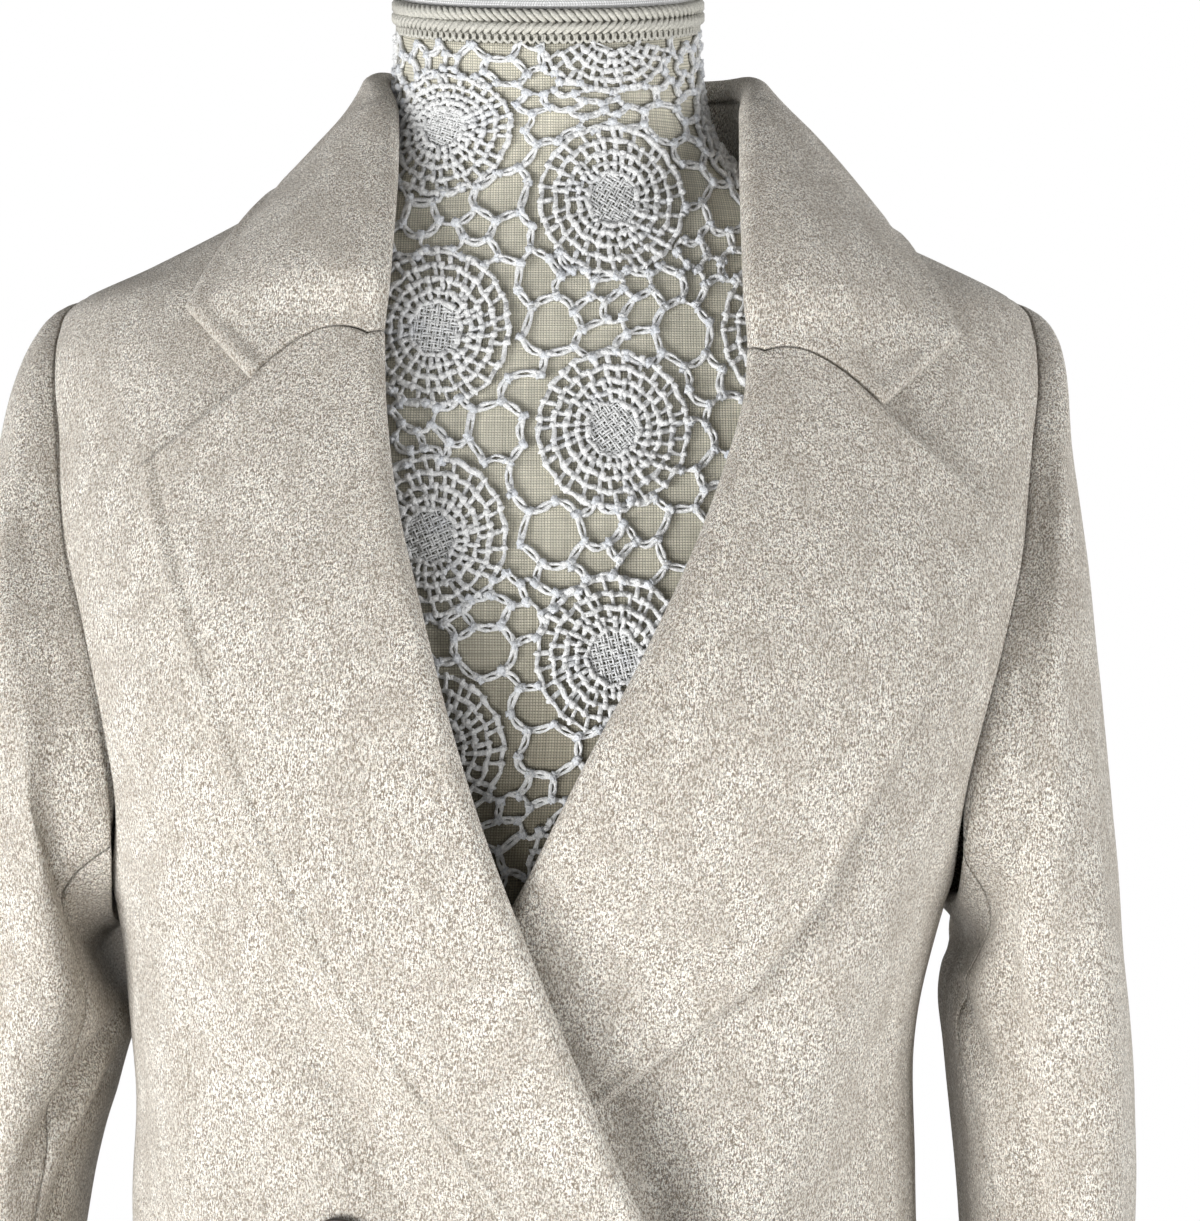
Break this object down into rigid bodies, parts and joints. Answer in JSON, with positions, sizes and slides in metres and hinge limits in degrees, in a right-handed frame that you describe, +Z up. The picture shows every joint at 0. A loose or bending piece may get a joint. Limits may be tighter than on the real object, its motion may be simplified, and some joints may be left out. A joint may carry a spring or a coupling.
{
  "type": "long coat on a dress form",
  "caption": "Long double-breasted wool coat with wide notched lapels and a turned-down collar, worn by a lace-covered limbless dress form on a round foot.",
  "frame": {"origin": "centre of the round foot's underside, on the floor; the coat faces -Y", "axes": "+Z up through the pole and the neck, +X to the wearer's left, -Y out of the coat's front"},
  "size_m": [0.5245, 0.3606, 1.5137],
  "materials": {
    "wool": "brushed oatmeal coating wool, soft matt nap",
    "linen": "plain-woven natural linen cover",
    "braid": "plaited cord trim",
    "horn": "dark polished button",
    "steel": "satin tube",
    "enamel": "pale satin paint"
  },
  "bodies": {
    "root": {"back": "wool", "front_right": "wool", "front_left": "wool", "lapel_right": "wool", "lapel_left": "wool", "collar": "wool", "sleeve_top_right": "wool", "sleeve_under_right": "wool", "sleeve_top_left": "wool", "sleeve_under_left": "wool", "button_upper_right": "horn", "button_upper_left": "horn", "button_lower_right": "horn", "button_lower_left": "horn", "form_torso": "linen", "form_braid": "braid", "form_cap": "linen", "stand_pole": "steel", "stand_foot": "enamel"}
  },
  "joints": []
}
